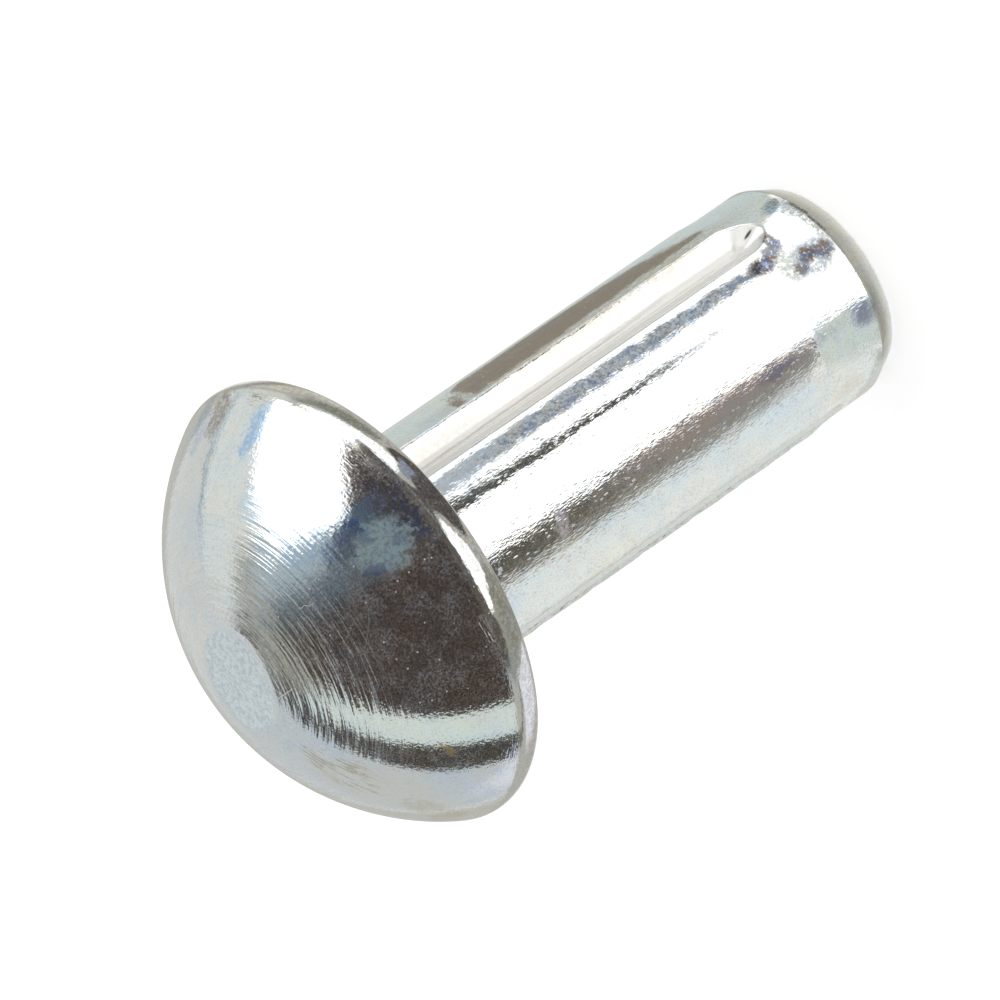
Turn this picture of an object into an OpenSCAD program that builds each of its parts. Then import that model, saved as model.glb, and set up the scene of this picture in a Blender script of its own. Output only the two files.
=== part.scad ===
// Round-head grooved pin, one piece of cold-headed steel, zinc plated.
// The pin stands on its tip: the origin is the centre of the flat tip face and
// +Z runs up the axis, through the shank, to the domed head. Millimetres.

/* [Shank] */
// Diameter of the plain lands between the grooves
shank_d = 4.0; // [3:0.1:6]
// Length from the tip face to the bearing face under the head
shank_l = 10.0; // [6:0.5:30]
// Radius of the fillet between the shank and the bearing face
neck_r = 0.15; // [0.05:0.05:0.3]

/* [Head] */
// Diameter of the head over its rim
head_d = 8.05; // [7:0.05:16]
// Height of the head from the bearing face to the crown
head_h = 3.05; // [2.2:0.05:4]
// Diameter of the small flat left on the crown
crown_d = 1.7; // [0.4:0.1:3]
// Height of the rim above the bearing face, where the dome begins
rim_h = 0.64; // [0.4:0.02:1.2]
// Radius that rounds the rim into the bearing face
rim_under_r = 0.54; // [0.1:0.02:0.6]
// Least height of straight wall left on the rim
rim_wall_h = 0.05; // [0.02:0.01:0.2]

/* [Tip] */
// Step in radius from the lands down to the plain pilot at the tip
pilot_step = 0.03; // [0.01:0.01:0.2]
// Height of the pilot's upper end above the tip face
pilot_l = 1.3; // [1:0.05:3]
// Height over which the shank widens from the pilot to its full section
lead_l = 0.45; // [0.1:0.05:1]
// Height of the end chamfer
chamfer_h = 0.45; // [0.1:0.05:0.8]
// Width of the end chamfer
chamfer_w = 0.22; // [0.05:0.01:0.6]

/* [Grooves] */
// Number of lengthwise grooves, evenly spaced
groove_n = 3; // [2:1:4]
// Angle between a groove's two flanks
groove_angle = 94; // [60:1:120]
// Depth of a groove below the lands, at its rounded root
groove_depth = 0.35; // [0.1:0.01:0.5]
// Radius of a groove's root
groove_root_r = 0.14; // [0.03:0.01:0.2]
// Height of a groove's rounded lower end above the tip face
groove_stop = 1.15; // [0.6:0.05:4]
// Height of the metal raised along a groove's two edges
lip_h = 0.025; // [0.015:0.005:0.1]
// Width of the raised metal on each side of a groove
lip_w = 0.65; // [0.2:0.05:1]

/* [Hidden] */
$fn = 128;
eps = 0.01;
steel = [0.80, 0.83, 0.85];

shank_r = shank_d / 2;
pilot_r = shank_r - pilot_step;
head_r = head_d / 2;
crown_r = crown_d / 2;
top_z = shank_l + head_h;
rim_z = shank_l + rim_h;

// The dome is the sphere through the rim circle and the crown circle.
dome_z = (crown_r^2 + top_z^2 - head_r^2 - rim_z^2) / (2 * (top_z - rim_z));
dome_r = norm([head_r, rim_z - dome_z]);

under_r = min(rim_under_r, rim_h - rim_wall_h);

// A groove's flanks meet, extended, at apex_r from the pin's axis.
groove_half = groove_angle / 2;
root_lift = groove_root_r * (1 / sin(groove_half) - 1);
apex_r = shank_r - groove_depth - root_lift;
// Where a flank cuts a circle of radius r about the pin's axis: half the width there.
function groove_half_w(r) =
    let (t = tan(groove_half), a = 1 + t^2)
    t * (sqrt(a * r^2 - (t * apex_r)^2) - apex_r) / a;
groove_w = 2 * groove_half_w(shank_r);
cut_h = shank_r + neck_r + lip_h - apex_r;
end_z = groove_stop + groove_w / 2;

// The raised metal is part of a smaller cylinder set off towards the groove.
edge_a = asin(groove_w / 2 / shank_r);
foot_a = edge_a + lip_w / shank_r * 180 / PI;
lip_top_r = shank_r + lip_h;
lip_off = (lip_top_r^2 - shank_r^2) / (2 * (lip_top_r * cos(edge_a) - shank_r * cos(foot_a)));
lip_r = norm([shank_r * cos(foot_a) - lip_off, shank_r * sin(foot_a)]);

// Half section of the head, to the right of the axis.
module head_section() {
    difference() {
        intersection() {
            translate([0, dome_z]) circle(r = dome_r);
            translate([0, shank_l]) square([head_r, head_h]);
        }
        difference() {
            translate([head_r - under_r, shank_l - eps]) square(under_r + eps);
            translate([head_r - under_r, shank_l + under_r]) circle(r = under_r);
        }
    }
}

// Cross section of the shank before grooving: round, with the raised metal on it.
module shank_section() {
    circle(r = shank_r);
    for (i = [0 : groove_n - 1]) rotate(i * 360 / groove_n) translate([lip_off, 0]) circle(r = lip_r);
}

// Half section of the turned shape that trims the shank to its pilot and chamfered tip.
module tip_section() {
    polygon([
        [0, 0], [pilot_r - chamfer_w, 0], [pilot_r, chamfer_h], [pilot_r, pilot_l],
        [lip_top_r + eps, pilot_l + lead_l], [lip_top_r + eps, shank_l + eps], [0, shank_l + eps]
    ]);
}

// Half section of the fillet under the head.
module neck_section() {
    difference() {
        translate([shank_r - eps, shank_l - neck_r]) square(neck_r + eps);
        translate([shank_r + neck_r, shank_l - neck_r]) circle(r = neck_r);
    }
}

// The shank before grooving.
module shank() {
    intersection() {
        linear_extrude(height = shank_l + eps) shank_section();
        rotate_extrude() tip_section();
    }
    rotate_extrude() neck_section();
}

// Half section of the grooving tool: flank, rounded root, and the centre line at x = 0.
module tool_half() {
    intersection() {
        union() {
            polygon([
                [0, root_lift + groove_root_r],
                [groove_root_r * cos(groove_half), (root_lift + groove_root_r) * cos(groove_half)^2],
                [cut_h * tan(groove_half), cut_h], [0, cut_h]
            ]);
            translate([0, root_lift + groove_root_r]) circle(r = groove_root_r);
        }
        square([cut_h * tan(groove_half), cut_h]);
    }
}

// One groove on the +X side: a straight V with a conical end.
module groove() {
    translate([apex_r, 0, end_z]) rotate([0, 90, 0]) rotate_extrude() tool_half();
    translate([apex_r, 0, end_z]) rotate([0, 0, -90]) linear_extrude(height = shank_l - end_z) {
        tool_half();
        mirror([1, 0]) tool_half();
    }
}

// The whole pin.
module grooved_pin() {
    color(steel) difference() {
        union() {
            rotate_extrude() head_section();
            shank();
        }
        for (i = [0 : groove_n - 1]) rotate([0, 0, i * 360 / groove_n]) groove();
    }
}

grooved_pin();
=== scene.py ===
"""Round head grooved pin, zinc plated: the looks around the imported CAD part.

Sizes are in millimetres and turned into metres when a mesh is made. The pin stands on its tip,
with its axis on +Z and the middle of its first groove on +X. Marks on the pin and cards in the
studio are placed by their azimuth: degrees to the viewer's right of the camera.
"""
import math
from types import SimpleNamespace
import bpy
import numpy as np
from mathutils import Matrix, Vector


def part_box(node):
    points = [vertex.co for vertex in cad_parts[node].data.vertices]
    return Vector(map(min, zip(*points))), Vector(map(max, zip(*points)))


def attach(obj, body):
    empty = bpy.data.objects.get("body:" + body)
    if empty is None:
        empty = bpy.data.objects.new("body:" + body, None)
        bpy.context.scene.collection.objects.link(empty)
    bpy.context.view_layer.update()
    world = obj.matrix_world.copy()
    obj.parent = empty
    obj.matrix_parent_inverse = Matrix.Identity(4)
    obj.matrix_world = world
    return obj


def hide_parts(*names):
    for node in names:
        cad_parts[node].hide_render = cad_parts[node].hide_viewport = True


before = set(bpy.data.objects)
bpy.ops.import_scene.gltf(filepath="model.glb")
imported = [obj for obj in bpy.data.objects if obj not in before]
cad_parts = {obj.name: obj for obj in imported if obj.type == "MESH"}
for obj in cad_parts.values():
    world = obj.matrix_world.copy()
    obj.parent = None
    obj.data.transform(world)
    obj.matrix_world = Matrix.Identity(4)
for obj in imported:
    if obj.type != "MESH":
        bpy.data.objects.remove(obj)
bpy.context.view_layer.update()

MM = 0.001
TURN = 2 * math.pi

# ---------------------------------------------------------------- sizes of the pin
PIN_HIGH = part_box("grooved_pin")[1] / MM
HEAD_R = PIN_HIGH.x
TOP_Z = PIN_HIGH.z
HEAD_H = 3.05
SHANK_L = TOP_Z - HEAD_H
SHANK_R = 2.0
NECK_R = 0.15

# The tip: a plain pilot under the shank, the slope between the two, and the chamfer at the end
PILOT_R = 1.97
PILOT_L, LEAD_L = 1.3, 0.45
CHAMFER_H, CHAMFER_W = 0.45, 0.22
TIP_ROUND, SHOULDER_ROUND = 0.04, 0.15

# The head: its rim, the round that turns in under it, and the flat on the crown
RIM_H, RIM_EDGE_R = 0.64, 0.40
RIM_UNDER_H, RIM_UNDER_W = 0.54, 0.72
CROWN_R, CROWN_LONG_AZ, CROWN_BOW = 0.85, 40, 0.03
CROWN_BLEND, CROWN_ZONE = 0.01, 0.3
CROWN_HALF_L, CROWN_HALF_W = 0.97, 0.80

# The grooves: three V grooves that run out near the tip, with raised lips beside them
GROOVES = 3
GROOVE_HALF = math.radians(47)
GROOVE_DEPTH, GROOVE_W = 0.35, 0.78
GROOVE_STOP, GROOVE_RUNOUT, RUNOUT_CURVE = 1.15, 0.65, 1.25
LIP_H, LIP_W, LIP_WAVE = 0.025, 0.65, 0.008
EDGE_BLEND = 0.025

# ---------------------------------------------------------------- camera
VIEW_AZ, VIEW_EL, VIEW_ROLL = 319.4, 28.79, -124.75
VIEW_DISTANCE, VIEW_LENS, SENSOR_W = 138.9, 308.85, 36
AIM = Vector((0.015, 0.017, 7.294))


def direction(azimuth, elevation):
    """Unit vector at an azimuth about +Z from +X and an elevation above the floor, in degrees."""
    a, e = math.radians(azimuth), math.radians(elevation)
    return Vector((math.cos(a) * math.cos(e), math.sin(a) * math.cos(e), math.sin(e)))


def add_camera():
    """A long lens above the floor, rolled so that the head is low on the left."""
    data = bpy.data.cameras.new("camera")
    data.sensor_width = SENSOR_W
    data.lens = VIEW_LENS
    data.clip_start, data.clip_end = 0.01, 2
    camera = bpy.data.objects.new("camera", data)
    back = direction(VIEW_AZ, VIEW_EL)
    level = back.to_track_quat("Z", "Y")
    roll = Matrix.Rotation(math.radians(VIEW_ROLL), 4, "Z")
    place = Matrix.Translation((AIM + back * VIEW_DISTANCE) * MM)
    camera.matrix_world = place @ level.to_matrix().to_4x4() @ roll
    bpy.context.scene.collection.objects.link(camera)
    bpy.context.scene.camera = camera


# ---------------------------------------------------------------- the pin's outline
def arc(centre, radius, start, end, steps, widen=1.0):
    """Points (r, z) on an arc about centre, angles in degrees from +r; widen stretches it in r."""
    angles = np.radians(np.linspace(start, end, steps))
    across = radius * widen * np.cos(angles)
    return np.stack([centre[0] + across, centre[1] + radius * np.sin(angles)], 1)


def line(a, b, steps):
    """Points (r, z) from a to b."""
    return np.linspace(a, b, steps)


def fillet(before, corner, after, radius, steps):
    """Points (r, z) of a small round that replaces the corner between two straight runs."""
    before, corner, after = (np.array(p, float) for p in (before, corner, after))
    u = (before - corner) / np.linalg.norm(before - corner)
    v = (after - corner) / np.linalg.norm(after - corner)
    half = math.acos(float(u @ v)) / 2
    reach = radius / math.tan(half)
    centre = corner + (u + v) / np.linalg.norm(u + v) * radius / math.sin(half)
    start, end = corner + u * reach - centre, corner + v * reach - centre
    a0, a1 = math.atan2(start[1], start[0]), math.atan2(end[1], end[0])
    sweep = (a1 - a0 + math.pi) % TURN - math.pi
    angles = a0 + np.linspace(0, 1, steps) * sweep
    return centre + radius * np.stack([np.cos(angles), np.sin(angles)], 1)


def dome_sphere():
    """Height of the centre, and radius, of the sphere through the rim circle and the crown circle."""
    rim_z = SHANK_L + RIM_H
    centre = (CROWN_R**2 + TOP_Z**2 - HEAD_R**2 - rim_z**2) / (2 * (TOP_Z - rim_z))
    return centre, math.hypot(HEAD_R, rim_z - centre)


DOME_Z, DOME_R = dome_sphere()


def shank_outline():
    """Runs of points (r, z) from the tip's centre to the bearing face.

    A run stops just short of the next, and the faces between the two close the gap.
    """
    flat_r = PILOT_R - CHAMFER_W
    tip, shoulder = (flat_r, 0), (PILOT_R, CHAMFER_H)
    neck_z = SHANK_L - NECK_R
    return [
        line((0.3, 0), (flat_r - 0.1, 0), 4),
        fillet((0, 0), tip, shoulder, TIP_ROUND, 5),
        line((flat_r + 0.05, 0.1), (PILOT_R - 0.025, CHAMFER_H - 0.05), 5),
        fillet(tip, shoulder, (PILOT_R, PILOT_L), SHOULDER_ROUND, 9),
        line((PILOT_R, CHAMFER_H + 0.05), (PILOT_R, 1.0), 10),
        line((PILOT_R, 1.02), (PILOT_R, PILOT_L), 14),
        line((PILOT_R, PILOT_L + 0.02), (SHANK_R, PILOT_L + LEAD_L), 20),
        line((SHANK_R, PILOT_L + LEAD_L + 0.06), (SHANK_R, neck_z - 0.03), 88),
        arc((SHANK_R + NECK_R, neck_z), NECK_R, 180, 90, 6),
    ]


def head_outline():
    """Runs of points (r, z) from the bearing face, round the rim and over the dome to the crown."""
    rim_z = SHANK_L + RIM_H
    under_r = HEAD_R - RIM_UNDER_W
    rim_a = math.degrees(math.asin((rim_z - DOME_Z) / DOME_R))
    crown_a = math.degrees(math.acos(CROWN_R / DOME_R))
    edge_a = math.degrees(RIM_EDGE_R * math.tan(math.radians(rim_a) / 2) / DOME_R)
    on_dome = math.radians(rim_a + 2)
    dome_start = (DOME_R * math.cos(on_dome), DOME_Z + DOME_R * math.sin(on_dome))
    return [
        line((SHANK_R + NECK_R + 0.1, SHANK_L), (under_r - 0.1, SHANK_L), 4),
        arc((under_r, SHANK_L + RIM_UNDER_H), RIM_UNDER_H, -90, 0, 18, widen=RIM_UNDER_W / RIM_UNDER_H),
        fillet((HEAD_R, SHANK_L), (HEAD_R, rim_z), dome_start, RIM_EDGE_R, 10),
        arc((0, DOME_Z), DOME_R, rim_a + edge_a * 1.4, crown_a - 3, 64),
        arc((0, DOME_Z), DOME_R, crown_a - 2.6, crown_a + 3, 16),
        arc((0, DOME_Z), DOME_R, crown_a + 4, 89.4, 8),
    ]


# ---------------------------------------------------------------- the pin's surface
def wave(x, *waves):
    """A smooth fixed wobble: a sum of sines, each given as (waves per mm, phase, size)."""
    return sum(size * np.sin(TURN * x * rate + phase) for rate, phase, size in waves)


def ease(x):
    """Smooth step from 0 to 1."""
    x = np.clip(x, 0, 1)
    return x * x * (3 - 2 * x)


def soft_min(a, b, blend):
    """The lesser of a and b, with the edge between them rounded."""
    h = np.clip(0.5 + 0.5 * (b - a) / blend, 0, 1)
    return b + (a - b) * h - blend * h * (1 - h)


def crown_flat(x, y):
    """Height of the small flat on the crown: a little bowed across one direction, and uneven."""
    long_way = direction(VIEW_AZ + CROWN_LONG_AZ, 0)
    along = x * long_way.x + y * long_way.y
    uneven = wave(x, (0.7, 0.4, 0.5), (1.6, 1.0, 0.3)) + wave(y, (0.8, 2.1, 0.5), (1.9, 0.2, 0.25))
    return TOP_Z - 0.004 - CROWN_BOW * along**2 + 0.003 * uneven


def groove_surface(angle, z):
    """Distance from the pin's axis to a groove's flanks and its run-out, by angle off its middle.

    The section is a V with a curved bottom, a hyperbola that opens outwards. Its bottom rises past
    the shank's surface along a curve at the groove's end. Where no groove is near, it gives 99.
    """
    slope = math.tan(GROOVE_HALF)
    half_w = GROOVE_W / 2
    apex = math.sqrt(SHANK_R**2 - half_w**2) - half_w / slope
    floor_r = SHANK_R - GROOVE_DEPTH
    run = np.clip((GROOVE_STOP + GROOVE_RUNOUT - z) / GROOVE_RUNOUT, 0, 2)
    root = (floor_r - apex + GROOVE_DEPTH * run**RUNOUT_CURVE) * slope
    c, s = np.cos(angle), np.sin(angle)
    a = (slope * c) ** 2 - s**2
    b = apex * slope * slope * c
    with np.errstate(invalid="ignore", divide="ignore"):
        r = (b + np.sqrt(b * b - a * ((apex * slope) ** 2 - root**2))) / a
    return np.where((a > 0.02) & (c > 0), r, 99.0)


def lip_rise(angle, z):
    """Height of the metal raised beside a groove, by angle off its middle."""
    edge = math.asin(GROOVE_W / 2 / SHANK_R)
    foot = edge + LIP_W / SHANK_R
    rise = ease((foot - np.abs(angle)) / (foot - edge))
    start = ease((z - PILOT_L - 0.1) / LEAD_L)
    uneven = wave(z + 7 * np.sign(angle), (0.9, 0.3, 0.5), (1.7, 1.1, 0.4), (2.6, 2.0, 0.3))
    return rise * start * (LIP_H + LIP_WAVE * uneven * rise)


def columns():
    """Angles of the mesh's columns, closer together at the grooves and their edges."""
    third = TURN / GROOVES
    marks = np.radians([-60, -31, -14, -9.4, 0, 9.4, 14, 31, 60])
    counts = [20, 12, 10, 15, 15, 10, 12, 20]
    one = np.concatenate([
        np.linspace(a, b, n, endpoint=False) for a, b, n in zip(marks[:-1], marks[1:], counts)
    ])
    return np.concatenate([one + third * i for i in range(GROOVES)])


def pin_points():
    """Grid of points, outline rows by columns, in millimetres."""
    outline = np.concatenate(shank_outline() + head_outline())
    r0, z0 = outline[:, :1], outline[:, 1:]
    turn = columns()[None, :]
    third = TURN / GROOVES
    off_groove = (turn + third / 2) % third - third / 2
    on_shank = (z0 < SHANK_L - 0.001) | (r0 < SHANK_R + NECK_R + 0.001) & (z0 < SHANK_L + 0.001)
    raised = r0 + lip_rise(off_groove, z0)
    grooved = soft_min(raised, groove_surface(off_groove, z0), EDGE_BLEND)
    r = np.where(on_shank, grooved, r0 + 0 * turn)
    x, y = r * np.cos(turn), r * np.sin(turn)
    plain_z = z0 + 0 * turn
    z = np.where(z0 > TOP_Z - CROWN_ZONE, soft_min(plain_z, crown_flat(x, y), CROWN_BLEND), plain_z)
    return np.stack([x, y, z], -1)


def add_pin():
    """One closed mesh that stands for the CAD node: the grid, with a point at the tip and crown."""
    grid = pin_points()
    rows, cols = grid.shape[:2]
    points = [tuple(p) for p in (grid.reshape(-1, 3) * MM)]
    tip, crown = len(points), len(points) + 1
    points += [(0, 0, 0), (0, 0, float(crown_flat(0, 0)) * MM)]
    last = (rows - 1) * cols
    faces = []
    for i in range(rows - 1):
        for j in range(cols):
            k = (j + 1) % cols
            faces.append((i * cols + j, i * cols + k, (i + 1) * cols + k, (i + 1) * cols + j))
    for j in range(cols):
        k = (j + 1) % cols
        faces.append((tip, k, j))
        faces.append((crown, last + j, last + k))
    mesh = bpy.data.meshes.new("grooved_pin_finish")
    mesh.from_pydata(points, [], faces)
    mesh.validate()
    mesh.polygons.foreach_set("use_smooth", [True] * len(mesh.polygons))
    pin = bpy.data.objects.new("grooved_pin_finish", mesh)
    bpy.context.scene.collection.objects.link(pin)
    return pin


# ---------------------------------------------------------------- node helpers
class Graph:
    """Short calls that add nodes to one tree and give back their output sockets."""

    def __init__(self, tree):
        self.tree = tree
        self.tree.nodes.clear()

    def add(self, kind, inputs=(), out=0, **settings):
        """Add a node, and give back its output out, or the node itself where out is None."""
        node = self.tree.nodes.new(kind)
        for name, value in settings.items():
            setattr(node, name, value)
        for key, value in dict(inputs).items():
            self.put(node.inputs[key], value)
        return node if out is None else node.outputs[out]

    def put(self, socket, value):
        """Link value to a socket where it is a socket itself, and else set it."""
        if isinstance(value, bpy.types.NodeSocket):
            self.tree.links.new(value, socket)
        else:
            socket.default_value = value

    def math(self, operation, *values, clamp=False):
        return self.add("ShaderNodeMath", enumerate(values), operation=operation, use_clamp=clamp)

    def times(self, a, b, clamp=False):
        return self.math("MULTIPLY", a, b, clamp=clamp)

    def most(self, *values):
        """The greatest of two or more values."""
        top = values[0]
        for value in values[1:]:
            top = self.math("MAXIMUM", top, value)
        return top

    def vector(self, operation, *values, out=0, scale=None):
        inputs = dict(enumerate(values))
        if scale is not None:
            inputs["Scale"] = scale
        return self.add("ShaderNodeVectorMath", inputs, out=out, operation=operation)

    def combine(self, x, y, z):
        return self.add("ShaderNodeCombineXYZ", {0: x, 1: y, 2: z})

    def shift(self, vector, x, y, z):
        return self.vector("ADD", vector, self.combine(x, y, z))

    def dot(self, a, b):
        return self.vector("DOT_PRODUCT", a, tuple(b), out="Value")

    def length(self, vector):
        return self.vector("LENGTH", vector, out="Value")

    def step(self, value, low, high, to_low=0.0, to_high=1.0):
        """Smooth step from to_low, where value is low, to to_high, where it is high."""
        return self.add(
            "ShaderNodeMapRange",
            {0: value, 1: low, 2: high, 3: to_low, 4: to_high},
            interpolation_type="SMOOTHSTEP",
        )

    def noise(self, vector, scale, detail, roughness):
        return self.add(
            "ShaderNodeTexNoise",
            {"Vector": vector, "Scale": scale, "Detail": detail, "Roughness": roughness},
        )

    def cells(self, vector, scale):
        """Distance to the nearest of many scattered points, and a number of that point's own."""
        node = self.add("ShaderNodeTexVoronoi", {"Vector": vector, "Scale": scale}, out=None)
        own = self.add("ShaderNodeSeparateColor", {0: node.outputs["Color"]})
        return node.outputs["Distance"], own

    def mix(self, factor, a, b):
        """Colour a where factor is 0, and b where it is 1."""
        return self.add(
            "ShaderNodeMix", {0: factor, 6: a, 7: b}, out=2, data_type="RGBA", clamp_factor=True
        )

    def mix_value(self, factor, a, b):
        return self.add("ShaderNodeMix", {0: factor, 2: a, 3: b}, clamp_factor=True)


def rgb(r, g, b):
    return (r, g, b, 1.0)


def new_material(name):
    """An empty material and the graph of its nodes."""
    material = bpy.data.materials.new(name)
    material.use_nodes = True
    return material, Graph(material.node_tree)


# ---------------------------------------------------------------- marks on the plate
# Tilt is degrees from the crown, seen from the dome's centre, and height is above the tip.
# Marks on the dome: (tilt, azimuth, half tilt, half azimuth, colour, how matt, how strong).
DOME_MARKS = [
    (53.5, 17.0, 5.5, 3.6, (0.15, 0.31, 0.50), 0.35, 0.85),
    (48.6, 16.5, 3.2, 2.6, (0.12, 0.17, 0.36), 0.35, 0.85),
    (58.5, 14.0, 3.5, 9.0, (0.26, 0.28, 0.40), 0.12, 0.8),
    (52.0, 8.0, 6.6, 6.8, (0.36, 0.49, 0.52), 0.62, 1.0),
    (60.0, 8.0, 1.5, 6.0, (0.10, 0.15, 0.30), 0.3, 0.8),
    (50.5, 12.0, 1.5, 1.6, (0.17, 0.26, 0.38), 0.35, 0.8),
    (55.5, 6.5, 1.3, 2.0, (0.22, 0.32, 0.42), 0.35, 0.7),
    (47.5, 4.0, 1.8, 2.2, (0.15, 0.21, 0.34), 0.3, 0.8),
    (43.5, 15.0, 2.2, 3.2, (0.20, 0.30, 0.50), 0.2, 0.6),
    (43.0, 24.0, 8.0, 7.0, (0.45, 0.62, 0.80), 0.05, 0.5),
    (54.5, 59.5, 6.0, 2.8, (0.36, 0.55, 0.80), 0.0, 0.85),
    (40.5, 47.0, 3.5, 7.0, (0.55, 0.70, 0.86), 0.0, 0.6),
    (58.0, 77.5, 6.5, 3.6, (0.36, 0.32, 0.28), 0.0, 0.85),
    (44.0, 75.5, 10.0, 0.8, (0.50, 0.56, 0.62), 0.0, 0.9),
    (57.0, 85.5, 6.5, 4.0, (0.46, 0.54, 0.66), 0.0, 0.8),
    (17.5, 86.0, 2.6, 5.0, (0.80, 0.76, 0.68), 0.0, 0.5),
    (22.0, 62.0, 1.4, 7.0, (0.60, 0.60, 0.60), 0.0, 0.5),
    (37.0, -86.0, 15.0, 17.0, (0.78, 0.75, 0.64), 0.0, 0.6),
    (47.6, -55.8, 1.2, 1.8, (0.42, 0.30, 0.10), 0.6, 1.0),
    (47.0, -88.0, 4.5, 5.0, (0.66, 0.60, 0.46), 0.0, 0.8),
    (55.0, -96.0, 3.0, 9.0, (0.66, 0.60, 0.50), 0.0, 0.8),
]
# Scratches on the dome: points (tilt, azimuth), half width in millimetres, strength.
SCRATCHES = [
    ([(43.9, 5.2), (43.2, 0.5), (42.1, -3.5), (40.6, -7.4), (38.6, -11.6), (36.5, -15.6)],
     0.0075, 0.2),
    ([(29.4, 11.4), (30.1, 10.2), (30.9, 10.4), (31.6, 8.9), (32.8, 8.5)], 0.011, 0.5),
    ([(10.0, -45.6), (16.5, -26.0)], 0.011, 0.7),
    ([(52.0, -6.0), (47.5, -10.0)], 0.012, 0.10),
    ([(51.0, -24.0), (48.0, -32.0)], 0.012, 0.10),
]
# Marks on the shank: (height, azimuth, half height, half azimuth, colour, how matt, how strong).
SHANK_MARKS = [
    (7.60, -25.0, 0.15, 8.0, (0.86, 0.83, 0.86), 0.6, 0.85),
    (4.20, -23.5, 2.60, 4.8, (0.54, 0.46, 0.42), 0.55, 0.85),
    (2.70, -24.5, 0.40, 3.0, (0.28, 0.29, 0.40), 0.5, 0.8),
    (4.60, 57.0, 3.20, 9.0, (0.60, 0.56, 0.48), 0.3, 0.9),
    (8.10, -38.1, 0.05, 2.6, (0.95, 0.93, 0.90), 0.8, 0.9),
    (0.70, -27.0, 0.28, 8.0, (0.72, 0.78, 0.88), 0.0, 0.6),
    (1.25, -62.0, 0.38, 6.0, (0.70, 0.63, 0.57), 0.0, 0.7),
    # Painted shade: the next two grey the metal along the shank's whole length at its two outline sides,
    # where it turns away from the camera.
    (5.50, -82.0, 5.50, 16.0, (0.58, 0.58, 0.53), 0.0, 0.9),
    (5.50, 92.0, 6.00, 14.0, (0.76, 0.76, 0.80), 0.0, 0.8),
    (1.00, 11.5, 0.52, 9.5, (0.29, 0.32, 0.34), 0.0, 1.0),
    # Painted shade: the next two darken the metal in a grey band above the pilot step and a bluish patch
    # low by the chamfer.
    (1.46, 15.0, 0.20, 10.0, (0.33, 0.35, 0.33), 0.0, 0.9),
    (0.68, 45.5, 0.26, 5.5, (0.30, 0.37, 0.45), 0.0, 1.0),
    (8.10, 46.0, 0.90, 3.5, (0.46, 0.44, 0.37), 0.0, 0.8),
    # Painted shade: the next two darken the metal in a grey band just above the chamfer.
    (0.52, 33.0, 0.11, 20.0, (0.25, 0.27, 0.26), 0.0, 1.0),
    (0.62, 43.0, 0.10, 9.0, (0.27, 0.30, 0.30), 0.0, 1.0),
]
# Speckled blue and brown blots on the shank: (height, azimuth, half height, half azimuth, how strong).
BLOTS = [
    (1.33, 30.0, 0.13, 6.5, 0.9),
    (1.83, 21.0, 0.27, 4.8, 1.0),
    (1.55, 25.0, 0.16, 3.5, 0.8),
    (1.30, 9.5, 0.12, 3.5, 0.9),
    (1.03, 13.4, 0.20, 4.4, 1.0),
    (0.71, 11.6, 0.18, 5.0, 0.9),
    (0.66, -26.0, 0.24, 6.0, 0.45),
]
# Single marks: (centre, half size), on the dome by tilt and azimuth, on the shank by height and azimuth.
BRUSH_STAIN = ((28.0, -83.0), (8.5, 12.0))
SHOULDER_FLECKS = ((56.0, 21.0), (7.0, 13.0))
BLOTCHED_STRIPE = ((4.9, 21.0), (3.3, 4.6))
GROOVE_DARK_SPOT = ((1.40, 43.5), (0.09, 0.8))


# ---------------------------------------------------------------- places on the pin
def plan(tilt, azimuth):
    """Position (x, y) on the dome, by degrees from the crown and azimuth."""
    out = direction(VIEW_AZ + azimuth, 0) * DOME_R * math.sin(math.radians(tilt))
    return out.x, out.y


def find_place(g):
    """Sockets that say where on the pin a point is, and the noises that several looks share.

    p is the place in millimetres, flat that place seen in plan, tilt the degrees from the crown
    and arc the same in millimetres. ragged is (tilt, azimuth) and torn is (height, azimuth), both
    with wandering edges for marks.
    """
    at = SimpleNamespace()
    at.p = g.vector("SCALE", g.add("ShaderNodeTexCoord", out="Object"), scale=1 / MM)
    x, y, at.z = g.add("ShaderNodeSeparateXYZ", {0: at.p}, out=None).outputs
    at.flat = g.combine(x, y, 0.0)
    at.radius = g.length(at.flat)
    at.tilt = g.math("DEGREES", g.math("ARCTAN2", at.radius, g.math("SUBTRACT", at.z, DOME_Z)))
    at.arc = g.times(at.tilt, math.radians(1) * DOME_R)
    to_front, to_side = g.dot(at.flat, direction(VIEW_AZ, 0)), g.dot(at.flat, direction(VIEW_AZ + 90, 0))
    at.azimuth = g.math("DEGREES", g.math("ARCTAN2", to_side, to_front))
    at.on_head = g.step(at.z, SHANK_L + 0.3, SHANK_L + 0.5)
    at.on_shank = g.math("SUBTRACT", 1.0, at.on_head)

    at.fine = g.noise(at.p, 13.0, 4.0, 0.85)
    at.dust = g.noise(g.vector("ADD", at.p, (5.0, 1.0, 8.0)), 26.0, 2.0, 0.75)
    at.wobble = g.math("SUBTRACT", g.noise(at.p, 5.0, 4.0, 0.75), 0.5)
    at.on_dome = g.combine(at.tilt, at.azimuth, 0.0)
    at.ragged = g.shift(at.on_dome, g.times(at.wobble, 13.0), g.times(at.wobble, -11.0), 0.0)
    at.down_shank = g.combine(at.z, at.azimuth, 0.0)
    at.torn = g.shift(at.down_shank, g.times(at.wobble, 0.3), g.times(at.wobble, 6.0), 0.0)
    return at


def spot(g, place, centre, size, soft=0.35):
    """1 inside an ellipse about centre, falling to 0 past its edge."""
    off = g.vector("SUBTRACT", place, (*centre, 0.0))
    scaled = g.vector("DIVIDE", off, (*size, 1.0))
    return g.step(g.length(scaled), 1.0 + soft, 1.0 - soft)


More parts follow.
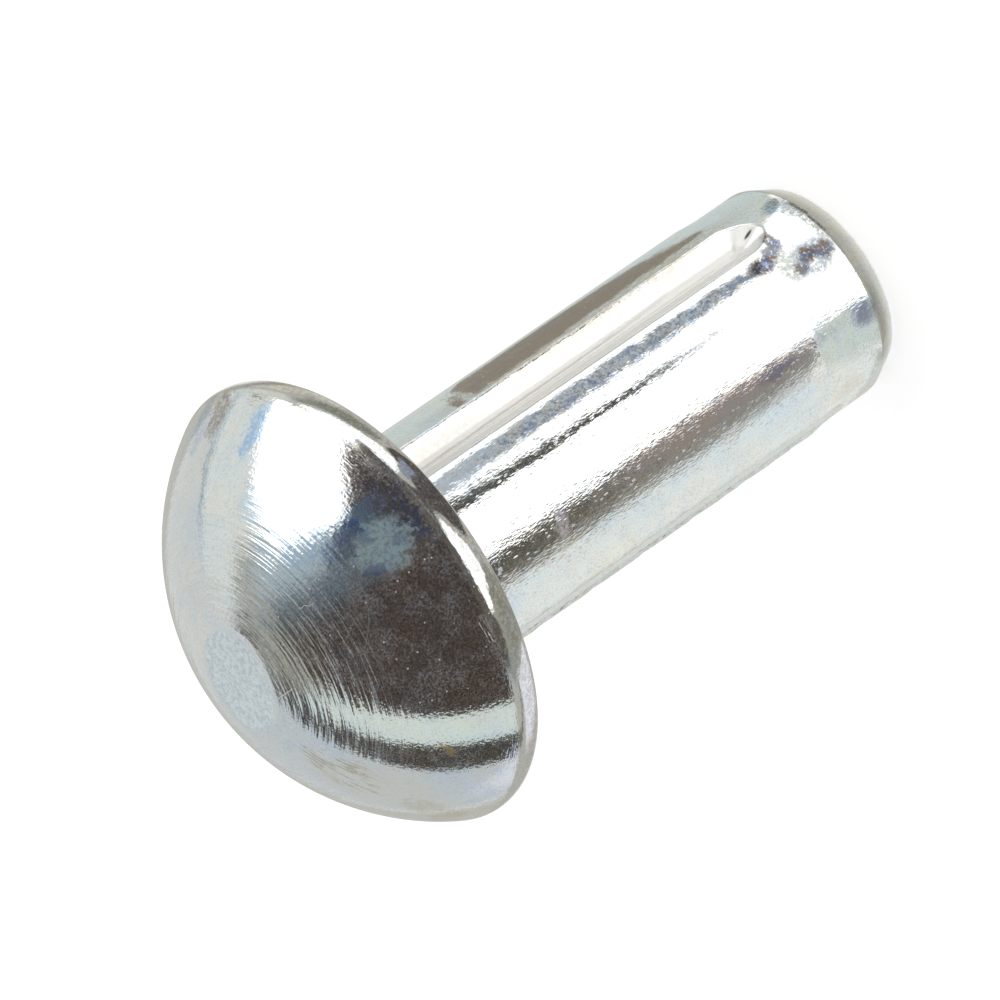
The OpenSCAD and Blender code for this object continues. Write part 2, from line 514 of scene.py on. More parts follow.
def scratch(g, flat, points, half_width):
    """1 along a broken line over the dome, seen in plan, and 0 away from it."""
    masks = []
    for start, end in zip(points[:-1], points[1:]):
        a, b = Vector((*plan(*start), 0)), Vector((*plan(*end), 0))
        along = b - a
        off = g.vector("SUBTRACT", flat, tuple(a))
        share = g.times(g.dot(off, along / along.length_squared), 1.0, clamp=True)
        near = g.vector("SCALE", g.combine(*along), scale=share)
        masks.append(g.step(g.vector("DISTANCE", off, near, out="Value"), half_width, half_width * 0.4))
    return g.most(*masks)


# ---------------------------------------------------------------- zinc plate
class Finish:
    """The plate as it builds up: the metal's colour, and a matt coat, its share and its colour."""

    def __init__(self, g, colour, matt, matt_colour):
        self.g = g
        self.colour = colour
        self.matt = matt
        self.matt_colour = matt_colour

    def tint(self, mask, paint):
        self.colour = self.g.mix(mask, self.colour, paint)

    def coat(self, mask, paint):
        self.matt_colour = self.g.mix(mask, self.matt_colour, paint)

    def dull(self, mask):
        self.matt = self.g.most(self.matt, mask)


def plated_colour(g, at):
    """Colour of the clean metal: pale, with blue and straw tints and a darker grain."""
    cloud = g.noise(at.p, 0.9, 2.0, 0.6)
    patch = g.noise(g.vector("ADD", at.p, (7.0, 3.0, 5.0)), 2.6, 2.0, 0.6)
    grain = g.noise(at.p, 22.0, 2.0, 0.7)
    colour = g.mix(g.step(cloud, 0.35, 0.65), rgb(0.78, 0.82, 0.84), rgb(0.84, 0.84, 0.80))
    colour = g.mix(g.step(patch, 0.56, 0.72, 0.0, 0.5), colour, rgb(0.66, 0.74, 0.84))
    return g.mix(g.step(grain, 0.52, 0.66, 0.0, 0.26), colour, rgb(0.40, 0.40, 0.43))


def haze_mask(g, at):
    """A thin haze of matt grains, seen where the metal mirrors something dark."""
    drift = g.noise(g.vector("ADD", at.p, (2.0, 9.0, 4.0)), 2.4, 3.0, 0.70)
    return g.times(g.step(drift, 0.40, 0.64, 0.28, 1.0), g.step(at.dust, 0.42, 0.64, 0.02, 0.24))


def speck_mask(g, at):
    """A few pale specks of dust."""
    distance, own = g.cells(at.p, 7.0)
    return g.times(g.step(distance, 0.14, 0.07), g.step(own, 0.55, 0.57))


def scuff_mask(g, at):
    """Matt scuffs along circles round the crown."""
    turned = g.shift(g.vector("SCALE", at.flat, scale=1.1), 0.0, 0.0, g.times(at.arc, 32.0))
    scuffs = g.step(g.noise(turned, 1.0, 2.0, 0.7), 0.48, 0.64, 0.0, 0.40)
    zone = g.times(g.step(at.tilt, 14.0, 20.0), g.step(at.tilt, 47.0, 32.0))
    return g.times(scuffs, g.times(zone, at.on_head))


def fleck_mask(g, at):
    """Pale flecks about the stain on the dome's shoulder."""
    place = g.shift(at.on_dome, g.times(at.wobble, 12.0), 0.0, 0.0)
    zone = g.times(spot(g, place, *SHOULDER_FLECKS), at.on_head)
    return g.times(zone, g.step(at.fine, 0.52, 0.62, 0.0, 0.5))


def worn_plate(g, at):
    """The finish with what lies over its clean metal: haze, specks, scuffs and flecks."""
    speck, scuffs, flecks = speck_mask(g, at), scuff_mask(g, at), fleck_mask(g, at)
    hue = g.noise(at.p, 3.2, 3.0, 0.6)
    coat = g.mix(g.step(hue, 0.42, 0.58), rgb(0.32, 0.44, 0.72), rgb(0.50, 0.34, 0.24))
    coat = g.mix(g.step(scuffs, 0.05, 0.2), coat, rgb(0.40, 0.52, 0.66))
    coat = g.mix(g.step(flecks, 0.05, 0.3), coat, rgb(0.48, 0.54, 0.66))
    coat = g.mix(speck, coat, rgb(0.9, 0.9, 0.88))
    finish = Finish(g, plated_colour(g, at), haze_mask(g, at), coat)
    finish.dull(g.times(speck, 0.55))
    finish.dull(g.times(scuffs, g.step(at.dust, 0.36, 0.60, 0.4, 1.0)))
    finish.dull(flecks)
    return finish


def add_brush_stain(g, at, finish):
    """Straw streaks low on the dome's left."""
    stretched = g.vector("MULTIPLY", g.combine(at.azimuth, at.tilt, 0.0), (0.60, 0.15, 0.0))
    streaks = g.step(g.noise(stretched, 1.0, 2.0, 0.7), 0.50, 0.57)
    finish.tint(g.times(spot(g, at.ragged, *BRUSH_STAIN), streaks), rgb(0.46, 0.40, 0.29))


def add_marks(g, at, finish):
    """Stains and tints at places of their own, with ragged and speckled edges, and a few marks of painted
    shade on the shank.
    """
    uneven = g.step(at.fine, 0.40, 0.56, 0.35, 1.1)
    for marks, place, side in ((DOME_MARKS, at.ragged, at.on_head), (SHANK_MARKS, at.torn, at.on_shank)):
        for a, b, half_a, half_b, paint, matt, strength in marks:
            mask = g.times(spot(g, place, (a, b), (half_a, half_b)), side)
            mask = g.times(mask, g.times(uneven, strength), clamp=True)
            finish.tint(mask, rgb(*paint))
            finish.coat(mask, rgb(*paint))
            if matt:
                finish.dull(g.times(mask, matt))


def add_scratches(g, at, finish):
    """Fine pale scratches on the dome."""
    for points, half_width, strength in SCRATCHES:
        mask = g.times(g.times(scratch(g, at.flat, points, half_width), at.on_head), strength)
        finish.dull(mask)
        finish.coat(mask, rgb(0.86, 0.88, 0.86))


def add_crown(g, at, finish):
    """The flat on the crown: pressed, matt and mottled. Gives back its mask."""
    long_way, wide_way = (direction(VIEW_AZ + CROWN_LONG_AZ + turn, 0) for turn in (0, 90))
    lengthwise = g.math("DIVIDE", g.dot(at.flat, long_way), CROWN_HALF_L)
    crosswise = g.math("DIVIDE", g.dot(at.flat, wide_way), CROWN_HALF_W)
    reach = g.length(g.combine(lengthwise, crosswise, g.times(at.wobble, 0.5)))
    edge = g.math("ADD", reach, g.times(at.wobble, 0.25))
    crown = g.times(g.step(edge, 1.03, 0.97), at.on_head)
    paint = g.mix(g.step(at.fine, 0.40, 0.58), rgb(0.60, 0.69, 0.75), rgb(0.86, 0.92, 0.92))
    finish.tint(crown, paint)
    finish.coat(crown, paint)
    finish.dull(g.times(crown, 0.45))
    return crown


def add_blots(g, at, finish):
    """Blue and brown blots near the tip, and the same in faint along the first groove."""
    blots = g.noise(g.vector("MULTIPLY", at.p, (1.0, 1.0, 0.6)), 6.5, 3.0, 0.7)
    paint = g.mix(g.step(blots, 0.46, 0.54), rgb(0.095, 0.066, 0.050), rgb(0.055, 0.068, 0.110))
    worn = g.step(at.fine, 0.33, 0.47, 0.25, 1.0)
    for a, b, half_a, half_b, strength in BLOTS:
        blot = g.times(spot(g, at.torn, (a, b), (half_a, half_b)), at.on_shank)
        finish.tint(g.times(blot, g.times(worn, strength)), paint)
    stripe = g.times(spot(g, at.torn, *BLOTCHED_STRIPE, soft=0.2), at.on_shank)
    finish.tint(g.times(stripe, g.step(blots, 0.50, 0.60, 0.0, 0.7)), rgb(0.34, 0.40, 0.55))
    finish.tint(g.times(stripe, g.step(blots, 0.46, 0.38, 0.0, 0.5)), rgb(0.46, 0.40, 0.34))
    finish.tint(g.times(stripe, g.step(at.fine, 0.50, 0.57, 0.0, 0.5)), paint)


def add_rim(g, at, finish):
    """Pale speckle round the rim."""
    rim = g.times(g.step(at.z, SHANK_L + 0.62, SHANK_L + 0.50), g.step(at.radius, 2.6, 3.2))
    paint = g.mix(g.step(at.fine, 0.40, 0.62), rgb(0.60, 0.60, 0.56), rgb(0.92, 0.92, 0.92))
    finish.tint(rim, paint)


def add_grooves(g, at, finish):
    """Paler, duller flanks, a dull root, and a small dark matt spot by the first groove's end.

    Gives back the masks of the grooves and of their ends.
    """
    sunk = g.times(g.step(at.radius, SHANK_R - 0.02, SHANK_R - 0.06), at.on_shank)
    sunk = g.times(sunk, g.step(at.z, PILOT_L - 0.3, PILOT_L - 0.2))
    ends = g.times(g.step(at.z, GROOVE_STOP + 0.80, GROOVE_STOP + 0.25), sunk)
    root = g.times(sunk, g.step(at.radius, SHANK_R - 0.20, SHANK_R - 0.27))
    dark_spot = g.times(spot(g, at.down_shank, *GROOVE_DARK_SPOT), at.on_shank)
    finish.dull(g.times(sunk, 0.55))
    finish.dull(g.times(root, 0.9))
    finish.coat(sunk, rgb(1.0, 0.98, 0.93))
    # A small dark matt spot painted by the first groove's end.
    finish.coat(dark_spot, rgb(0.10, 0.095, 0.08))
    finish.dull(dark_spot)
    return sunk, ends


def dome_relief(g, at):
    """Height in millimetres on the head: turning marks along circles, and a frost."""
    def circles(size, across):
        stretched = g.shift(g.vector("SCALE", at.flat, scale=size), 0.0, 0.0, g.times(at.arc, across))
        return g.noise(stretched, 1.0, 1.0, 0.6)

    zone = g.times(g.step(at.tilt, 12.0, 16.0), g.step(at.tilt, 50.0, 32.0))
    strength = g.math("MULTIPLY_ADD", zone, 0.90, 0.10)
    rings = g.math("ADD", g.times(circles(0.55, 8.0), 0.013), g.times(circles(0.8, 22.0), 0.0070))
    hair = g.times(circles(7.0, 42.0), 0.0014)
    frost = g.times(g.noise(at.p, 15.0, 1.0, 0.6), 0.0020)
    return g.math("ADD", g.math("ADD", g.times(rings, strength), hair), frost)


def shank_relief(g, at, sunk):
    """Height in millimetres on the shank: swells all over, and grain that the grooves have less of.

    Grain and blotches are level about 0, so that changing their strength makes no step.
    """
    grain = g.noise(g.vector("MULTIPLY", at.p, (30.0, 30.0, 12.0)), 1.0, 1.0, 0.6)
    distance, own = g.cells(g.vector("MULTIPLY", at.p, (26.0, 26.0, 7.0)), 1.0)
    pits = g.times(g.step(distance, 0.5, 0.1), g.times(g.step(own, 0.60, 0.72), 0.0012))
    plated = g.math("MULTIPLY_ADD", grain, 0.0020, g.math("SUBTRACT", pits, 0.0010))
    patches = g.noise(g.vector("MULTIPLY", at.p, (6.0, 6.0, 2.5)), 1.0, 1.0, 0.6)
    blotches = g.math("MULTIPLY_ADD", patches, 0.0035, -0.00175)
    swell = g.times(g.noise(at.p, 2.2, 1.0, 0.5), 0.007)

    left_side = g.times(g.step(at.azimuth, 12.0, -16.0), g.step(at.azimuth, -165.0, -115.0))
    smoothed = g.math("SUBTRACT", 1.0, g.times(sunk, 0.65))
    grainy = g.times(smoothed, g.math("MULTIPLY_ADD", left_side, 1.45, 0.65))
    return g.math("ADD", g.times(plated, grainy), g.math("ADD", swell, g.times(blotches, grainy)))


def zinc_material():
    """Bright zinc plate: blue, straw and brown tints, matt stains, speckle and turning marks."""
    material, g = new_material("zinc_plate")
    at = find_place(g)
    finish = worn_plate(g, at)
    add_brush_stain(g, at, finish)
    add_marks(g, at, finish)
    add_scratches(g, at, finish)
    crown = add_crown(g, at, finish)
    add_blots(g, at, finish)
    add_rim(g, at, finish)
    sunk, ends = add_grooves(g, at, finish)

    height = g.mix_value(at.on_head, shank_relief(g, at, sunk), dome_relief(g, at))
    rough_places = g.most(crown, g.times(ends, 0.5))
    shader = g.add("ShaderNodeBsdfPrincipled", {
        "Base Color": g.mix(finish.matt, finish.colour, finish.matt_colour),
        "Metallic": g.math("SUBTRACT", 1.0, finish.matt),
        "Roughness": g.math("MULTIPLY_ADD", rough_places, 0.34, 0.09),
        "Normal": g.add("ShaderNodeBump", {"Height": height, "Distance": MM, "Strength": 1.0}),
    })
    g.add("ShaderNodeOutputMaterial", {0: shader}, out=None)
    return material


# ---------------------------------------------------------------- studio
# Cards lie on the floor, on a cuff close round the head and on a tent round everything. A higher
# layer lies nearer to the pin, by the gaps here.
HEAD_CENTRE = Vector((0, 0, 11.5))
TENT_R, TENT_GAP = 100, 2
CUFF_R, CUFF_Z = 6.5, SHANK_L - 0.55
FLOOR_HALF, FLOOR_Z = 400, -0.01
CARD_Z, CARD_GAP = 0.03, 0.02
# Rows of mesh from one station of a card to the next, and columns in each soft side
CARD_ROWS, SOFT_STEPS = 6, 3
# How bright the softbox and the cuff's white gaps are; a plain card glows at 1
SOFTBOX, CUFF_WINDOW = 1.9, 1.5
WHITE = (1.0, 1.0, 1.0)
BROWN = (0.058, 0.041, 0.034)


def stage_mesh(name, points, faces, material):
    """A mesh that belongs to the studio and isn't part of the pin, with points in millimetres."""
    mesh = bpy.data.meshes.new(name)
    mesh.from_pydata([tuple(Vector(p) * MM) for p in points], [], faces)
    mesh.materials.append(material)
    item = bpy.data.objects.new(name, mesh)
    bpy.context.scene.collection.objects.link(item)
    return item


def on_floor(radius, azimuth, layer):
    """A place on the floor, by distance from the pin's axis and azimuth; layers lie on each other."""
    return direction(VIEW_AZ + azimuth, 0) * radius + Vector((0, 0, CARD_Z + CARD_GAP * layer))


def on_cuff(reach, azimuth, layer):
    """A place close round the head: out along a shelf under it, then up a wall at its end."""
    radius = min(reach, CUFF_R) - CARD_GAP * layer * (reach > CUFF_R)
    height = CUFF_Z + max(0, reach - CUFF_R) + CARD_GAP * layer * (reach <= CUFF_R)
    return direction(VIEW_AZ + azimuth, 0) * radius + Vector((0, 0, height))


def on_wall(azimuth, elevation, layer):
    """A place on the tent round the pin, by azimuth and degrees above level."""
    return HEAD_CENTRE + direction(VIEW_AZ + azimuth, elevation) * (TENT_R - TENT_GAP * layer)


def on_sky(x, y, layer):
    """A place on the tent, x degrees to the viewer's right and y towards the viewer from overhead."""
    return on_wall(math.degrees(math.atan2(x, y)), 90 - math.hypot(x, y), layer)


def glow_material(name, colour, strength):
    """Plain light that fades out where the mesh says so, and that lights nothing by itself."""
    material, g = new_material(name)
    material.cycles.emission_sampling = "NONE"
    glow = g.add("ShaderNodeEmission", {0: rgb(*colour), 1: strength})
    shown = g.add("ShaderNodeAttribute", out="Fac", attribute_name="shown")
    clear = g.add("ShaderNodeBsdfTransparent")
    mixed = g.add("ShaderNodeMixShader", {0: g.step(shown, 0.0, 1.0), 1: clear, 2: glow})
    g.add("ShaderNodeOutputMaterial", {0: mixed}, out=None)
    return material


def card_rows(stations):
    """The stations with more rows between them, so that a card follows the place it is on."""
    rows = []
    for first, last in zip(stations[:-1], stations[1:]):
        rows += np.linspace(first, last, CARD_ROWS, endpoint=False).tolist()
    return rows + [stations[-1]]


def card_columns(left, right, across):
    """Places across a card from 0 to 1, closer together in its soft sides, left and right wide."""
    return [
        *(left * k / SOFT_STEPS for k in range(SOFT_STEPS)),
        *(left + (1 - left - right) * k / across for k in range(across + 1)),
        *(1 - right * k / SOFT_STEPS for k in reversed(range(SOFT_STEPS))),
    ]


def ramp(distance, length):
    """From 0 at an edge to 1 at length from it, or 1 everywhere if the edge is hard."""
    return min(1, distance / length) if length else 1


def card(name, place, layer, colour, stations, soft=(1, 1), ends=(0, 0), across=12, strength=1.0):
    """A glowing card that only the metal sees.

    stations are (s, from, to) rows, with s the first coordinate of place and from, to the second.
    soft is how wide the fade is at the from and to sides, and ends how long it is at the first and
    last rows, in the same coordinates.
    """
    rows = card_rows(stations)
    points, shown = [], []
    for s, a, b in rows:
        width = abs(b - a)
        row_shown = min(ramp(abs(s - rows[0][0]), ends[0]), ramp(abs(rows[-1][0] - s), ends[1]))
        for v in card_columns(soft[0] / width, soft[1] / width, across):
            side_shown = min(ramp(v * width, soft[0]), ramp((1 - v) * width, soft[1]))
            points.append(place(s, a + (b - a) * v, layer))
            shown.append(max(0, row_shown * side_shown))
    cols = across + 1 + 2 * SOFT_STEPS
    faces = [
        (i * cols + j, i * cols + j + 1, (i + 1) * cols + j + 1, (i + 1) * cols + j)
        for i in range(len(rows) - 1) for j in range(cols - 1)
    ]
    item = stage_mesh(name, points, faces, glow_material(name, colour, strength))
    item.data.attributes.new("shown", "FLOAT", "POINT").data.foreach_set("value", shown)
    for ray in ("camera", "diffuse", "shadow", "transmission", "volume_scatter"):
        setattr(item, "visible_" + ray, False)


def add_overhead_cards():
    """What the dome mirrors: a grey tent, a dark room below it, a softbox and a strip light."""
    card("tent", on_wall, 0, (0.70, 0.72, 0.71), [(k, -7, 90) for k in range(-180, 181, 30)], (0, 0))
    card("tent_left", on_sky, 1, (0.60, 0.635, 0.655), [(-100, -125, -30), (8, -125, -30)], (6, 2), (0, 10))
    card("tent_right", on_sky, 1, (0.80, 0.83, 0.80), [
        (14, -48, -8), (50, -56, -12), (92, -62, -18),
    ], (3, 2), (12, 0))
    card("dark_room", on_sky, 1, BROWN, [
        (-86, 19, 24), (-75, 13, 32), (-60, 2, 45), (-40, -9, 58), (-20, -20, 66),
        (0, -22, 68), (20, -22, 66), (33, -20, 62), (34, 28, 62), (62, 31, 44),
    ], (1.5, 1))
    card("slate", on_sky, 2, (0.095, 0.120, 0.140), [
        (-2, -21, 58), (14, -22, 58), (34, -22, 36),
    ], (2, 8), (12, 0))
    card("slate_light", on_sky, 3, (0.45, 0.53, 0.57), [
        (8, -22, 20), (20, -22, 26), (36, -22, 30),
    ], (2, 9), (16, 0))
    card("softbox", on_sky, 4, WHITE, [
        (29, -7, 32), (45, -14, 35), (60, -19, 32), (75, -23, 28), (90, -26, 24),
    ], (3, 2), (3, 0), strength=SOFTBOX)
    card("strip_light", on_sky, 3, (0.73, 0.81, 0.77), [
        (-90, -8, 20), (-75, -12, 13.5), (-60, -19, 3), (-40, -27, -8.5), (-28, -31, -16), (-8, -33, -20),
    ], (1, 1), (0, 14))
    card("dark_band", on_sky, 2, (0.060, 0.052, 0.042), [
        (-90, -26, -2), (-75, -32, -10), (-60, -38.5, -17), (-40, -42, -24), (-28, -43.5, -27),
        (-12, -44.5, -29), (8, -44, -32),
    ], (1, 1), (0, 20))
    card("crown_shade", on_sky, 1, (0.10, 0.10, 0.08), [
        (-20, -46, -32), (0, -45, -31), (20, -44, -32),
    ], (3, 4), (6, 9))
    card("crown_shade_2", on_sky, 2, (0.36, 0.36, 0.31), [(-24, -34, -20), (40, -34, -20)], (5, 1), (8, 12))
    card("seam", on_sky, 2, (0.42, 0.50, 0.56), [
        (34, -53, -49), (60, -57, -53), (84, -62, -57),
    ], (1.5, 1.5), (8, 0))


def add_wall_cards():
    """What the sides of the dome mirror near level with the head."""
    card("rim_beige", on_wall, 3, (0.66, 0.63, 0.56), [(44, -7, 8), (120, -7, 4)], (0, 2), (6, 10))
    card("rim_pale", on_wall, 3, (0.80, 0.83, 0.92), [
        (-140, -7, 3), (-90, -7, 8), (-58, -7, 16),
    ], (0, 1), (20, 4))
    card("low_window", on_wall, 3, (1.0, 0.98, 0.93), [(-50, -7, 22), (60, -7, 22)], (0, 4), strength=1.35)
    card("rim_olive", on_wall, 4, (0.34, 0.33, 0.28), [
        (104, -7, 4), (112, -7, 4), (122, -7, 2),
    ], (0, 2), (4, 4))


def add_cuff_cards():
    """What the rim mirrors close round the head: dark painted shade, with two white gaps and pale sides."""
    # Painted shade: a grey shelf under the head, all round the shank, where the head shades it.
    card("cuff", on_cuff, 0, (0.50, 0.49, 0.45), [
        (2.3, -180, 180), (6.5, -180, 180), (6.5, -125, 125), (7.0, -114, 114), (7.5, -99, 99),
        (8.0, -82, 82), (8.5, -60, 60), (8.8, -40, 40), (8.9, -24, 24),
    ], (0, 0), across=90)
    card("cuff_outer_left", on_cuff, 1, (0.88, 0.86, 0.84), [
        (2.3, -180, -52), (3.4, -180, -58), (4.0, -180, -76), (4.5, -180, -92), (6.0, -180, -128),
    ], (0, 12), (0, 0.5))
    card("cuff_outer_right", on_cuff, 1, (0.88, 0.88, 0.86), [
        (2.3, 55, 180), (3.4, 62, 180), (4.0, 80, 180), (4.5, 87, 180), (5.5, 104, 180),
    ], (6, 0), (0, 0.5))
    card("cuff_lavender", on_cuff, 2, (0.88, 0.89, 0.96), [
        (3.65, -52, -33), (4.0, -64, -36), (4.5, -73, -39.5), (5.0, -79, -43), (5.5, -83, -46),
        (6.0, -86, -48), (6.5, -88, -50), (7.0, -80, -51),
    ], (12, 2), (0.25, 0.25))
    card("cuff_olive_left", on_cuff, 2, (0.33, 0.33, 0.28), [
        (3.0, -40, -10), (3.5, -38, -14), (4.2, -38, -8), (5.0, -43, -15), (6.5, -50, -25), (8.2, -54, -25),
    ], (3, 4), (0.2, 0.3))
    card("cuff_room_left", on_cuff, 3, (0.10, 0.082, 0.07), [
        (6.9, -38, -30), (7.4, -44, -26), (8.0, -50, -22), (8.5, -52, -20), (8.8, -42, -18),
    ], (8, 2), (0.6, 0))
    card("cuff_line_left", on_cuff, 4, (0.20, 0.19, 0.15), [
        (7.0, -56, -48), (7.3, -66, -54), (7.6, -78, -66), (7.9, -82, -70), (8.2, -76, -70),
    ], (3, 3), (0.15, 0))
    card("cuff_room", on_cuff, 3, (0.11, 0.095, 0.08), [
        (7.45, -30, 42), (8.0, -30, 42), (8.5, -30, 42), (8.8, -30, 42), (8.9, -24, 24),
    ], (2, 4), (0.4, 0))
    card("cuff_dark", on_cuff, 3, (0.095, 0.085, 0.08), [
        (3.2, 4, 22), (3.6, 0, 26), (4.0, -4, 30), (4.5, -1, 32), (5.0, 4, 23), (5.5, 6, 20),
        (6.5, 7.5, 19), (7.0, 7, 20), (7.6, 2, 26),
    ], (3, 2), (0.2, 0))
    card("cuff_blue", on_cuff, 4, (0.30, 0.33, 0.42), [
        (4.0, 18, 27), (5.0, 19, 26), (6.5, 19.5, 26),
    ], (2, 2), (0.3, 0.6))
    card("cuff_white", on_cuff, 4, WHITE, [
        (4.35, -12, -6), (4.6, -15, -3), (5.0, -18, 1), (5.5, -20, 4), (6.0, -22, 6), (6.5, -24.5, 7),
        (7.0, -27, 6.5), (7.3, -27.5, 5), (7.75, -26, 0),
    ], (2, 1.5), (0.2, 0.12), strength=CUFF_WINDOW)
    card("cuff_white_right", on_cuff, 4, WHITE, [
        (4.7, 27, 33), (5.0, 25.5, 37), (5.5, 25, 46), (6.0, 25.5, 51), (6.5, 25.5, 56), (7.0, 24.5, 60),
        (7.3, 25, 62), (7.6, 28, 66),
    ], (1.5, 3), (0.2, 0.12), strength=1.4)
    card("cuff_softbox", on_cuff, 5, WHITE, [
        (7.4, 40, 66), (8.0, 42, 70), (8.5, 41, 60), (8.75, 40, 46),
    ], (2, 2), (0.15, 0), strength=CUFF_WINDOW)
    card("cuff_pale_right", on_cuff, 2, (0.72, 0.74, 0.70), [
        (6.7, 76, 120), (7.0, 74, 112), (7.5, 72, 99), (8.0, 68, 82),
    ], (4, 0), (0.5, 0))
    card("cuff_olive_right", on_cuff, 3, (0.28, 0.29, 0.24), [
        (3.9, 30, 48), (4.5, 34, 58), (5.0, 38, 64), (5.5, 50, 68), (6.0, 55, 71), (6.5, 60, 73),
        (7.0, 64, 74), (7.6, 67, 74),
    ], (3, 5), (0.3, 0.3))
    card("cuff_beige", on_cuff, 2, (0.66, 0.64, 0.55), [
        (3.5, 46, 64), (4.0, 50, 68), (4.5, 60, 77), (5.0, 67, 84), (5.5, 72, 91), (6.0, 75, 97),
        (6.5, 78, 99),
    ], (3, 3), (0.3, 0.3))
    card("cuff_taupe", on_cuff, 3, (0.38, 0.345, 0.30), [
        (4.0, 66, 79), (4.5, 77, 86), (5.0, 83, 93), (5.5, 89, 99), (6.0, 95, 106), (6.5, 97, 112),
    ], (3, 3), (0.3, 0.3))


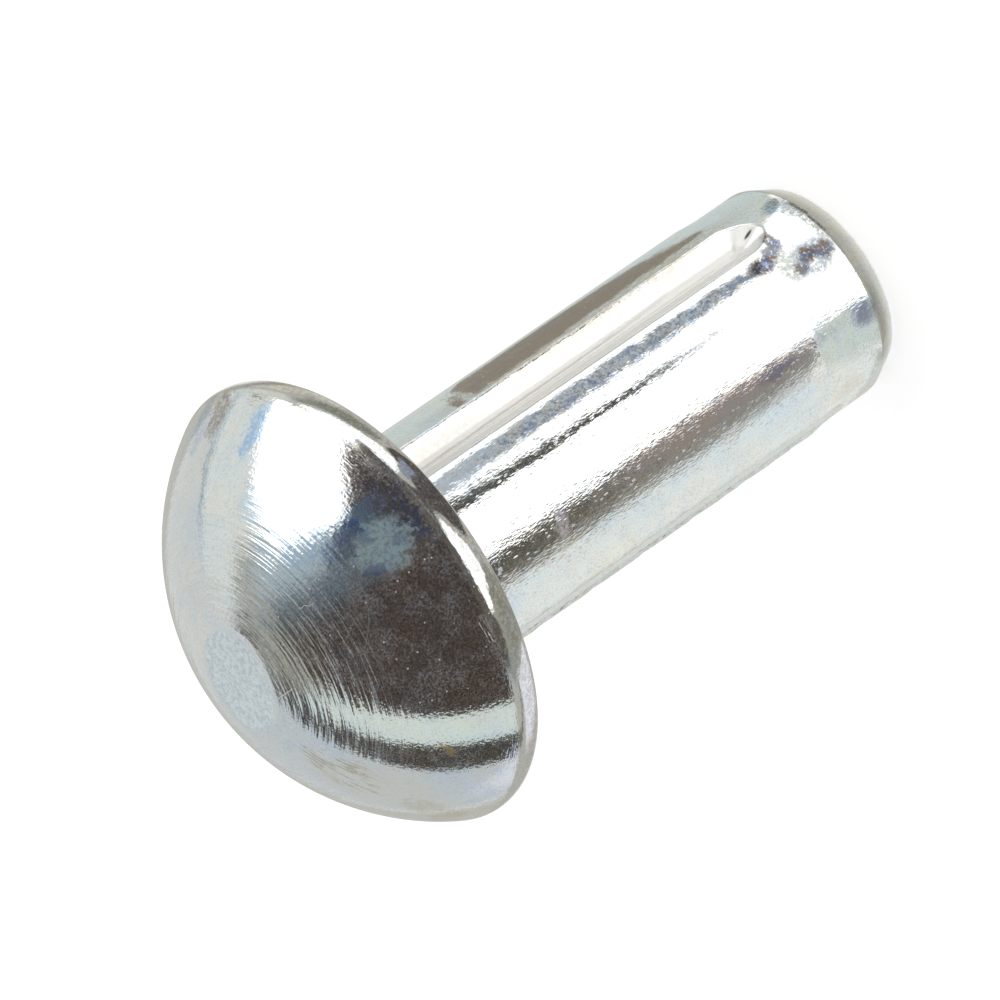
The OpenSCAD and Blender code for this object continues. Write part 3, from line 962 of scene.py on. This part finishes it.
def add_floor_cards():
    """What the shank mirrors: the floor round its foot, out to about 20 mm."""
    card("far_grey", on_floor, 0, (0.54, 0.54, 0.50), [
        (21, -240, 120), (95, -240, 120),
    ], (0, 0), (0, 10), across=40)
    card("far_pale", on_floor, 1, (0.78, 0.80, 0.86), [
        (21.6, -140, -50), (95, -140, -50),
    ], (20, 10), (0, 6))
    card("far_white", on_floor, 1, (1.0, 0.99, 0.95), [
        (21.6, -40, 60), (95, -40, 60),
    ], (6, 6), strength=1.15)
    card("left_side", on_floor, 1, (0.46, 0.47, 0.43), [(2.3, -200, -60), (21.5, -200, -60)], (10, 8))
    card("left_cream", on_floor, 2, (0.93, 0.95, 0.90), [
        (2.6, -140, -60), (6, -140, -66), (21.5, -142, -66),
    ], (20, 6))
    card("left_blue", on_floor, 3, (0.86, 0.92, 0.93), [
        (3.6, -92, -60), (8, -98, -66), (21.5, -104, -66),
    ], (14, 6))
    card("right_side", on_floor, 1, (0.66, 0.72, 0.69), [(2.3, 58, 160), (21.5, 58, 160)], (6, 10))
    card("behind", on_floor, 0, (0.68, 0.68, 0.66), [(2.3, 145, 200), (21.5, 145, 200)], (6, 10))
    card("taupe", on_floor, 2, (0.30, 0.26, 0.21), [
        (3.9, 100, 106), (4.7, 101, 114), (5.8, 103, 128), (7, 105, 140), (9, 106, 148),
        (12.9, 104, 150), (13.7, 103, 142), (14.2, 102, 122),
    ], (2, 4), (0.4, 0.1))
    card("white_ring", on_floor, 3, WHITE, [
        (2.30, -23, 60), (4, -27, 60), (6, -33, 62), (12, -34, 64), (21.5, -34, 64),
    ], (1, 3), strength=SOFTBOX)
    card("dark_stripe", on_floor, 4, (0.30, 0.275, 0.235), [
        (4.45, -58, -36), (5.5, -66, -32.5), (8.5, -73, -33), (15, -74, -33.3), (21.5, -74, -33.3),
    ], (13, 3.5), (0.35, 0))
    card("dark_stripe_2", on_floor, 5, (0.10, 0.092, 0.07), [
        (9, -66, -34), (21.5, -66, -33.5),
    ], (12, 3.5), (7, 0))
    card("dark_line", on_floor, 4, (0.05, 0.048, 0.035), [
        (4.8, 9.5, 12.5), (5.8, 9.5, 13), (7.7, 9.5, 15), (11, 9.5, 18), (14.3, 10, 20), (18.3, 12, 24),
        (21.5, 13, 26),
    ], (1, 2), (6, 0))
    card("blue_stripe", on_floor, 4, (0.51, 0.55, 0.58), [
        (4.6, 26, 36), (5.2, 25, 37), (7.3, 26, 40), (10.6, 26, 45.5), (14, 26, 46), (21.5, 26, 46),
    ], (2.5, 2), (0.5, 0))
    card("tip_grey", on_floor, 4, (0.70, 0.77, 0.73), [
        (2.3, -60, -22), (3.5, -66, -26), (4.5, -66, -28),
    ], (8, 1), (0, 0.3))
    card("tip_blue_2", on_floor, 5, (0.45, 0.50, 0.58), [
        (2.5, -43, -24), (3.4, -48, -27),
    ], (8, 1), (0.2, 0.3))
    card("chamfer_pale", on_floor, 1, (0.80, 0.80, 0.74), [
        (1.70, -180, 180), (2.3, -180, 180),
    ], (0, 0), across=60)
    # Painted contact shadow: this ring and the darker chamfer_shade stand where the pin shades the floor
    # round its foot.
    card("chamfer_contact_shadow", on_floor, 2, (0.50, 0.49, 0.44), [
        (1.76, -180, 180), (2.3, -180, 180),
    ], (0, 0), (0.20, 0), across=60)
    card("chamfer_shade", on_floor, 3, (0.34, 0.33, 0.30), [
        (1.80, -70, -4), (2.3, -70, -4),
    ], (25, 20), (0.18, 0))
    card("chamfer_left", on_floor, 4, (0.76, 0.76, 0.70), [(1.70, -150, -62), (2.5, -150, -62)], (15, 14))
    card("chamfer_line", on_floor, 6, (0.46, 0.45, 0.39), [
        (1.98, -60, 60), (2.5, -60, 60),
    ], (20, 10), (0.08, 0.12), across=40)
    card("chamfer_glint", on_floor, 7, WHITE, [
        (2.06, 48, 66), (2.4, 48, 70),
    ], (3, 5), (0.04, 0.04), strength=1.6)


def background_rays(g):
    """1 for the rays that see the background, from the camera and in the metal, and else 0."""
    path = g.add("ShaderNodeLightPath", out=None)
    return g.most(*(path.outputs[f"Is {ray} Ray"] for ray in ("Camera", "Glossy", "Transmission")))


def add_floor():
    """White paper that shows white to the camera and in the metal, and keeps the pin's shadow."""
    material, g = new_material("white_paper")
    material.cycles.emission_sampling = "NONE"
    paper = g.add("ShaderNodeBsdfDiffuse", {0: rgb(0.8, 0.8, 0.8)})
    glow = g.add("ShaderNodeEmission", {0: rgb(1, 1, 1), 1: g.times(background_rays(g), 0.47)})
    both = g.add("ShaderNodeAddShader", {0: paper, 1: glow})
    g.add("ShaderNodeOutputMaterial", {0: both}, out=None)
    s = FLOOR_HALF
    corners = [(x, y, FLOOR_Z) for x, y in ((-s, -s), (s, -s), (s, s), (-s, s))]
    stage_mesh("floor", corners, [(0, 1, 2, 3)], material)


def add_world():
    """Plain soft light from all round, and a white background."""
    world = bpy.data.worlds.new("studio")
    bpy.context.scene.world = world
    world.use_nodes = True
    g = Graph(world.node_tree)
    level = g.math("MULTIPLY_ADD", background_rays(g), 0.2, 0.8)
    back = g.add("ShaderNodeBackground", {0: rgb(1, 1, 1), 1: level})
    g.add("ShaderNodeOutputWorld", {0: back}, out=None)


bpy.context.scene.view_settings.view_transform = "Standard"
add_camera()
add_world()
add_floor()
add_overhead_cards()
add_wall_cards()
add_cuff_cards()
add_floor_cards()

pin = add_pin()
pin.data.materials.append(zinc_material())
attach(pin, "root")
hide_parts("grooved_pin")
